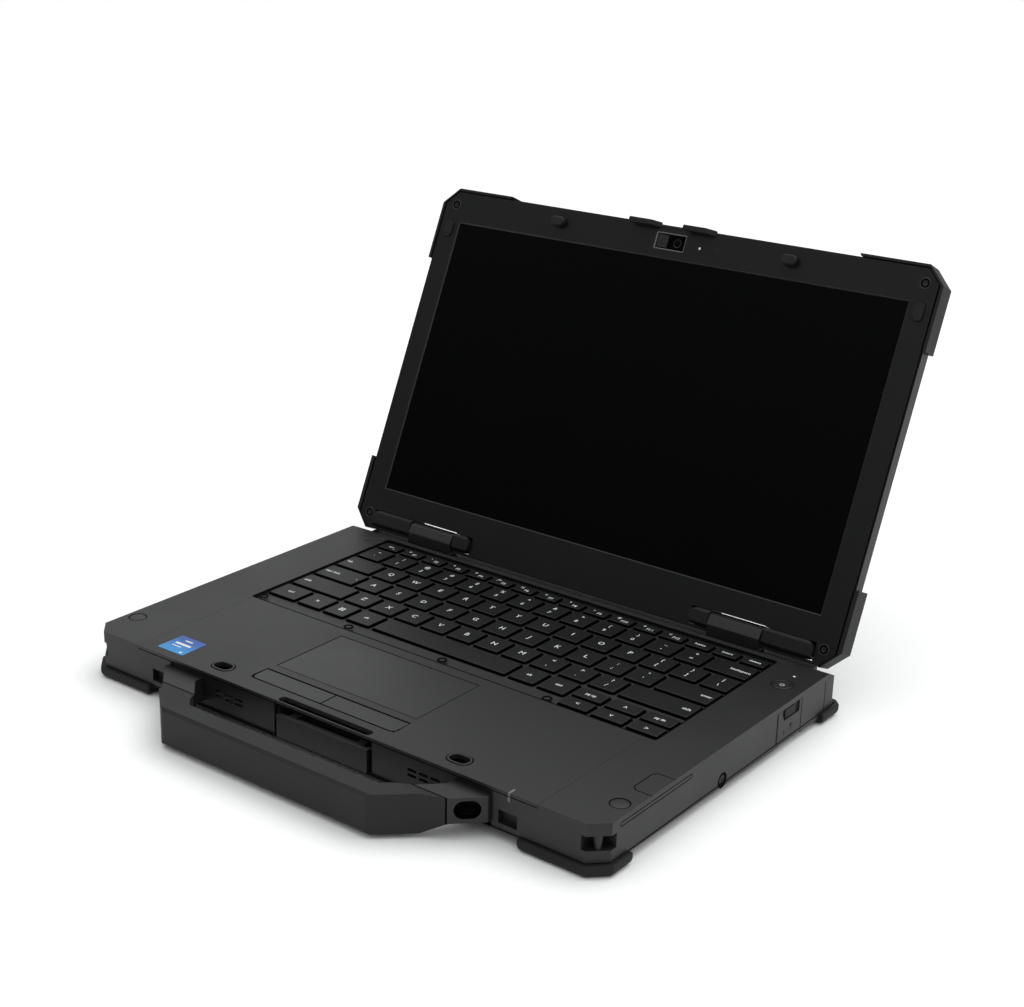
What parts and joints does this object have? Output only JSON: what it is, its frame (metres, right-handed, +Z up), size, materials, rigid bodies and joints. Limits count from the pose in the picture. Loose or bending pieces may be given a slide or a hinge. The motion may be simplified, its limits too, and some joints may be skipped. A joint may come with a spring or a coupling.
{
  "type": "rugged laptop computer",
  "caption": "Open rugged laptop with a front carry handle, rubber feet, lid bumpers, a chiclet keyboard, a touchpad with click buttons and side port doors.",
  "frame": {"origin": "on the table, below the middle of the open laptop's box", "axes": "+X to the user's right, +Y from the handle towards the lid, +Z up"},
  "size_m": [0.3452, 0.354, 0.2323],
  "materials": {
    "shell": "matte",
    "lid_shell": "matte",
    "touch": "satin",
    "keyboard_plastic": "matte",
    "key_plastic": "satin",
    "handle_rubber": "matte",
    "foot_rubber": "matte",
    "bumper_plastic": "matte",
    "display_glass": "gloss",
    "light_bar": "satin",
    "camera_plastic": "gloss",
    "inner_plastic": "matte",
    "steel": "satin",
    "plate": "satin",
    "copper": "satin",
    "circuit_board": "satin"
  },
  "bodies": {
    "base": {"chassis_frame": "shell", "bottom_cover": "shell", "palm_rest": "shell", "rear_corner_left": "shell", "rear_corner_right": "shell", "pen_bay_cover": "shell", "handle_mount_left": "shell", "handle_mount_right": "shell", "hinge_tower_left": "shell", "hinge_tower_right": "shell", "touchpad": "touch", "keyboard_deck": "keyboard_plastic", "handle_grip": "handle_rubber", "feet_front": "foot_rubber", "feet_rear": "foot_rubber", "latch_housing": "bumper_plastic", "status_light": "light_bar", "battery": "inner_plastic", "fan_housing": "inner_plastic", "speakers": "inner_plastic", "power_inlet": "inner_plastic", "handle_screws": "steel", "latch_pin": "steel", "port_connectors": "steel", "deck_screws": "steel", "bottom_screws": "steel", "switch_plate": "plate", "heat_sink": "copper", "mainboard": "circuit_board", "storage_drive": "circuit_board", "memory_modules": "circuit_board"},
    "lid": {"lid_cover": "lid_shell", "lid_bezel": "lid_shell", "display_panel": "inner_plastic", "display_glass": "display_glass", "bumpers_top": "bumper_plastic", "bumpers_bottom": "bumper_plastic", "hinge_cover_left": "bumper_plastic", "hinge_cover_right": "bumper_plastic", "hinge_pins": "steel", "closing_pegs": "foot_rubber", "latch_hooks": "bumper_plastic", "camera_module": "camera_plastic", "lid_screws": "steel"},
    "latch_flap": {"latch_flap": "shell"},
    "side_door_left": {"side_door_left": "shell"},
    "side_door_right": {"side_door_right": "shell"},
    "power_button": {"power_button": "shell"},
    "click_button_left": {"click_button_left": "touch"},
    "click_button_right": {"click_button_right": "touch"},
    "fan_rotor": {"fan_rotor": "inner_plastic"},
    "camera_shutter": {"camera_shutter": "camera_plastic"},
    "function_keys": {"function_keys": "key_plastic"},
    "number_keys": {"number_keys": "key_plastic"},
    "upper_letter_keys": {"upper_letter_keys": "key_plastic"},
    "home_letter_keys": {"home_letter_keys": "key_plastic"},
    "lower_letter_keys": {"lower_letter_keys": "key_plastic"},
    "modifier_keys": {"modifier_keys": "key_plastic"},
    "space_bar": {"space_bar": "key_plastic"},
    "arrow_keys": {"arrow_keys": "key_plastic"}
  },
  "joints": [
    {"name": "lid_hinge", "type": "hinge", "parent": "base", "child": "lid", "pos_m": [0, 0.07998, 0.0308], "axis": [1, 0, 0], "range_deg": [-16, 114]},
    {"name": "latch_flap_pivot", "type": "hinge", "parent": "base", "child": "latch_flap", "pos_m": [0, -0.13252, 0.0165], "axis": [-1, 0, 0], "range_deg": [0, 20], "stiffness_Nm_per_rad": 0.05},
    {"name": "side_door_right_hinge", "type": "hinge", "parent": "base", "child": "side_door_right", "pos_m": [0.16885, 0.01983, 0.0142], "axis": [0, 0, -1], "range_deg": [0, 90]},
    {"name": "side_door_left_hinge", "type": "hinge", "parent": "base", "child": "side_door_left", "pos_m": [-0.16885, -0.00517, 0.0142], "axis": [0, 0, 1], "range_deg": [0, 90]},
    {"name": "power_button_travel", "type": "slide", "parent": "base", "child": "power_button", "axis": [0, 0, -1], "range_m": [0, 0.0008], "stiffness_N_per_m": 1000},
    {"name": "click_left_travel", "type": "slide", "parent": "base", "child": "click_button_left", "axis": [0, 0, -1], "range_m": [0, 0.0008], "stiffness_N_per_m": 1200},
    {"name": "click_right_travel", "type": "slide", "parent": "base", "child": "click_button_right", "axis": [0, 0, -1], "range_m": [0, 0.0008], "stiffness_N_per_m": 1200},
    {"name": "function_keys_travel", "type": "slide", "parent": "base", "child": "function_keys", "axis": [0, 0, -1], "range_m": [0, 0.0015], "stiffness_N_per_m": 2500},
    {"name": "number_keys_travel", "type": "slide", "parent": "base", "child": "number_keys", "axis": [0, 0, -1], "range_m": [0, 0.0015], "stiffness_N_per_m": 2500},
    {"name": "upper_letter_keys_travel", "type": "slide", "parent": "base", "child": "upper_letter_keys", "axis": [0, 0, -1], "range_m": [0, 0.0015], "stiffness_N_per_m": 2500},
    {"name": "home_letter_keys_travel", "type": "slide", "parent": "base", "child": "home_letter_keys", "axis": [0, 0, -1], "range_m": [0, 0.0015], "stiffness_N_per_m": 2500},
    {"name": "lower_letter_keys_travel", "type": "slide", "parent": "base", "child": "lower_letter_keys", "axis": [0, 0, -1], "range_m": [0, 0.0015], "stiffness_N_per_m": 2500},
    {"name": "modifier_keys_travel", "type": "slide", "parent": "base", "child": "modifier_keys", "axis": [0, 0, -1], "range_m": [0, 0.0015], "stiffness_N_per_m": 2500},
    {"name": "space_bar_travel", "type": "slide", "parent": "base", "child": "space_bar", "axis": [0, 0, -1], "range_m": [0, 0.0015], "stiffness_N_per_m": 2500},
    {"name": "arrow_keys_travel", "type": "slide", "parent": "base", "child": "arrow_keys", "axis": [0, 0, -1], "range_m": [0, 0.0015], "stiffness_N_per_m": 2500},
    {"name": "fan_spin", "type": "hinge", "parent": "base", "child": "fan_rotor", "pos_m": [0.102, 0.02948, 0.012], "axis": [0, 0, 1], "continuous": true},
    {"name": "camera_shutter_slide", "type": "slide", "parent": "lid", "child": "camera_shutter", "axis": [1, 0, 0], "range_m": [0, 0.01]}
  ]
}
